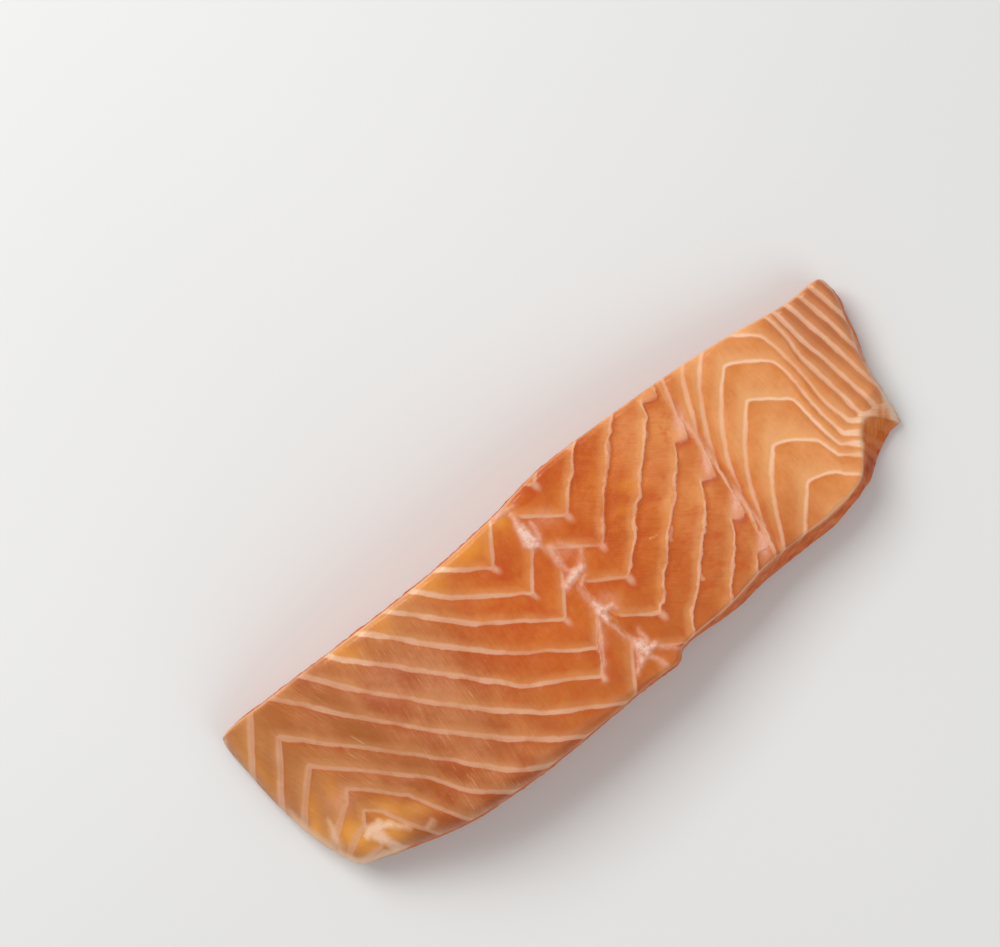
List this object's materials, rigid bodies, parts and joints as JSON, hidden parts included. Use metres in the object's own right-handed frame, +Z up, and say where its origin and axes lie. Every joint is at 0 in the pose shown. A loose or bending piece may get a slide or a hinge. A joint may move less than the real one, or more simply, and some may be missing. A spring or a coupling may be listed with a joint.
{
  "type": "salmon escalope",
  "caption": "Raw skinless salmon escalope cut across a fillet, rib side up, with pale wavy fat lines, a thick domed loin end and a thin belly end.",
  "frame": {"origin": "centre of the box under the slice, on the surface it rests on", "axes": "+X from the back end of the slice to its belly end, +Z up out of the rib side"},
  "size_m": [0.1526, 0.049, 0.0227],
  "materials": {
    "salmon_flesh": "moist raw salmon flesh, orange with pale fat lines"
  },
  "bodies": {
    "root": {"salmon_escalope": "salmon_flesh"}
  },
  "joints": []
}
